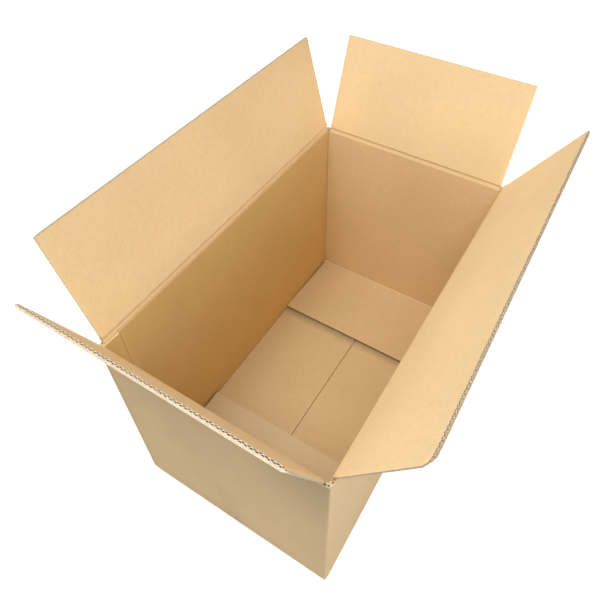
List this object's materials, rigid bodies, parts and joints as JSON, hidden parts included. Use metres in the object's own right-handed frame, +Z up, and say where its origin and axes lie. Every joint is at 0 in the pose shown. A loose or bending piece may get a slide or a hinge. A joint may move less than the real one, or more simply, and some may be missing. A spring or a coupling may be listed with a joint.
{
  "type": "open cardboard box",
  "caption": "Open-topped shipping box folded from double-wall corrugated board, taped along the bottom, with hinged top flaps.",
  "frame": {"origin": "centre of the bottom's outer face, on the plane that the box rests on", "axes": "+Z up, +X across the box from the left long side to the right one, +Y along the box from the front short side to the back one"},
  "size_m": [0.645, 0.9494, 0.7277],
  "materials": {
    "board": "matt kraft liner",
    "clear_tape": "clear gloss"
  },
  "bodies": {
    "box": {"box_body": "board", "bottom_tape": "clear_tape"},
    "left_top": {"left_flap": "board"},
    "right_top": {"right_flap": "board"},
    "front_top": {"front_flap": "board"},
    "back_top": {"back_flap": "board"}
  },
  "joints": [
    {"name": "left_crease", "type": "hinge", "parent": "box", "child": "left_top", "pos_m": [-0.2341, 0, 0.5064], "axis": [0, 1, 0], "range_deg": [-160.4, 104.6]},
    {"name": "right_crease", "type": "hinge", "parent": "box", "child": "right_top", "pos_m": [0.2341, 0, 0.5064], "axis": [0, -1, 0], "range_deg": [-143.2, 121.8]},
    {"name": "front_crease", "type": "hinge", "parent": "box", "child": "front_top", "pos_m": [0, -0.3941, 0.4995], "axis": [-1, 0, 0], "range_deg": [-153.4, 111.6]},
    {"name": "back_crease", "type": "hinge", "parent": "box", "child": "back_top", "pos_m": [0, 0.3941, 0.4995], "axis": [1, 0, 0], "range_deg": [-155, 110]}
  ]
}
